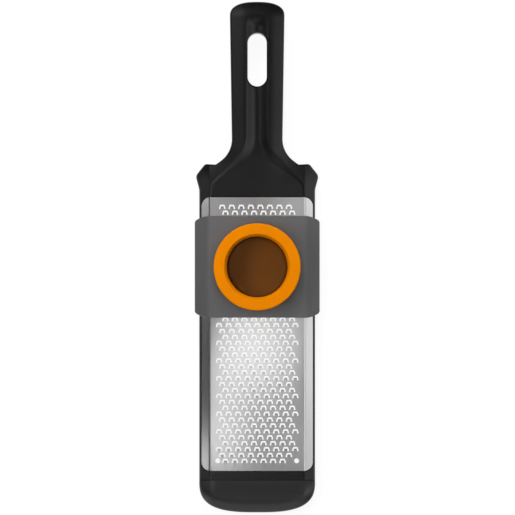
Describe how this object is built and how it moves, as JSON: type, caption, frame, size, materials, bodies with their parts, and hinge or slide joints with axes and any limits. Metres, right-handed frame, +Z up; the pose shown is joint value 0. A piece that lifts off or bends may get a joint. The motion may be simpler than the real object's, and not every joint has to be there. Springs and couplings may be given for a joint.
{
  "type": "fine grater",
  "caption": "Fine hand grater with a black plastic frame, arched steel teeth, a sliding grey hand guard and an orange food pusher.",
  "frame": {"origin": "on the resting plane, under the middle of the overall length and width", "axes": "+Y along the grating plate to the handle's end, +Z up out of the grating face, +X to the right seen from above"},
  "size_m": [0.0788, 0.322, 0.0494],
  "materials": {
    "black_plastic": "satin",
    "black_rubber": "matt",
    "steel": "fine brushed along the length",
    "grey_plastic": "satin",
    "orange_plastic": "satin"
  },
  "bodies": {
    "frame": {"frame_handle": "black_plastic", "handle_back": "black_plastic", "grating_plate": "steel", "nose_cap": "black_plastic", "nose_foot": "black_rubber"},
    "slider": {"slide_carriage": "grey_plastic"},
    "pusher": {"pusher_collar": "orange_plastic", "pusher_plunger": "orange_plastic"}
  },
  "joints": [
    {"name": "slider_slide", "type": "slide", "parent": "frame", "child": "slider", "axis": [0, 1, 0], "range_m": [-0.102, 0.0185]},
    {"name": "pusher_slide", "type": "slide", "parent": "slider", "child": "pusher", "axis": [0, 0, 1], "range_m": [0, 0.03]}
  ]
}
